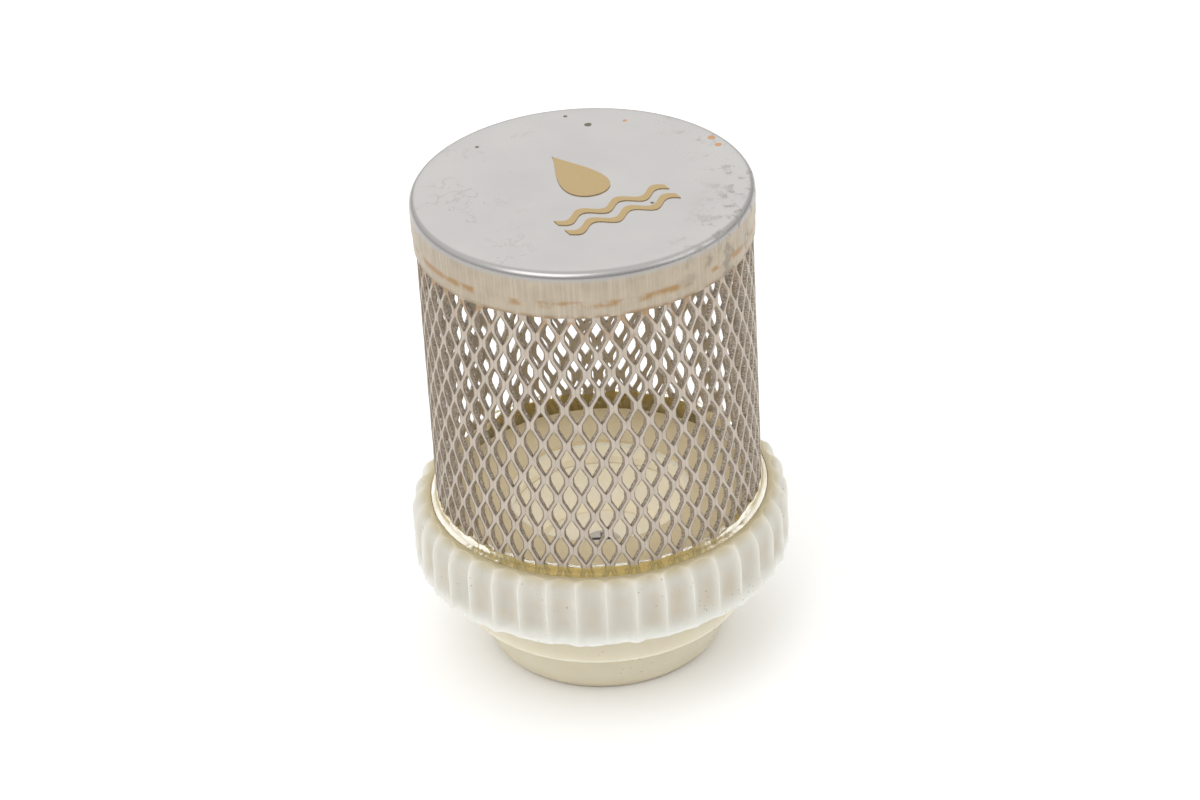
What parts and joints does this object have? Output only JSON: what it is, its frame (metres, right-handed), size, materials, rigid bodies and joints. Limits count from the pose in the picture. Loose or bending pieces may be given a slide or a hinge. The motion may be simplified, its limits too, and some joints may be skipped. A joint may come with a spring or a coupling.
{
  "type": "foot valve",
  "caption": "Plastic foot valve with an expanded-metal strainer basket, a knurled unscrewing collar, a plain outlet spigot and a spring-loaded check poppet.",
  "frame": {"origin": "centre of the spigot's end face", "axes": "+Z along the valve's axis from the outlet spigot to the basket's closed end"},
  "size_m": [0.057, 0.057, 0.0768],
  "materials": {
    "cap_steel": "satin pressed stainless, tarnished skirt",
    "mesh_steel": "dull expanded stainless sheet",
    "resin": "clear yellow cast resin",
    "collar_nylon": "milky translucent natural nylon",
    "body_nylon": "cream natural nylon",
    "acetal": "cream acetal",
    "rubber": "black nitrile",
    "seal_rubber": "light food-grade rubber",
    "fastener_steel": "bright stainless",
    "spring_steel": "drawn stainless wire"
  },
  "bodies": {
    "valve": {"valve_body": "body_nylon", "seat_ring": "acetal", "seat_o_ring": "rubber", "guide_cage": "acetal", "spring_cup": "fastener_steel", "return_spring": "spring_steel", "retaining_ring": "spring_steel"},
    "poppet": {"poppet": "acetal", "poppet_seal": "seal_rubber", "seal_plate": "acetal", "poppet_screw": "fastener_steel"},
    "gasket": {"collar_gasket": "seal_rubber"},
    "strainer": {"strainer_collar": "collar_nylon", "strainer_mesh": "mesh_steel", "potting_resin": "resin", "end_cap": "cap_steel"}
  },
  "joints": [
    {"name": "poppet_lift", "type": "slide", "parent": "valve", "child": "poppet", "axis": [0, 0, -1], "range_m": [0, 0.0042], "stiffness_N_per_m": 100, "springref_m": -0.005, "deforming": ["return_spring"]},
    {"name": "collar_lift", "type": "slide", "parent": "valve", "child": "gasket", "axis": [0, 0, 1], "range_m": [0, 0.004]},
    {"name": "collar_turn", "type": "hinge", "parent": "gasket", "child": "strainer", "pos_m": [0, 0, 0.02], "axis": [0, 0, 1], "range_deg": [0, 720]}
  ],
  "couplings": [
    {"joint": "collar_lift", "follows": "collar_turn", "m_per_rad": 0.0003183}
  ]
}
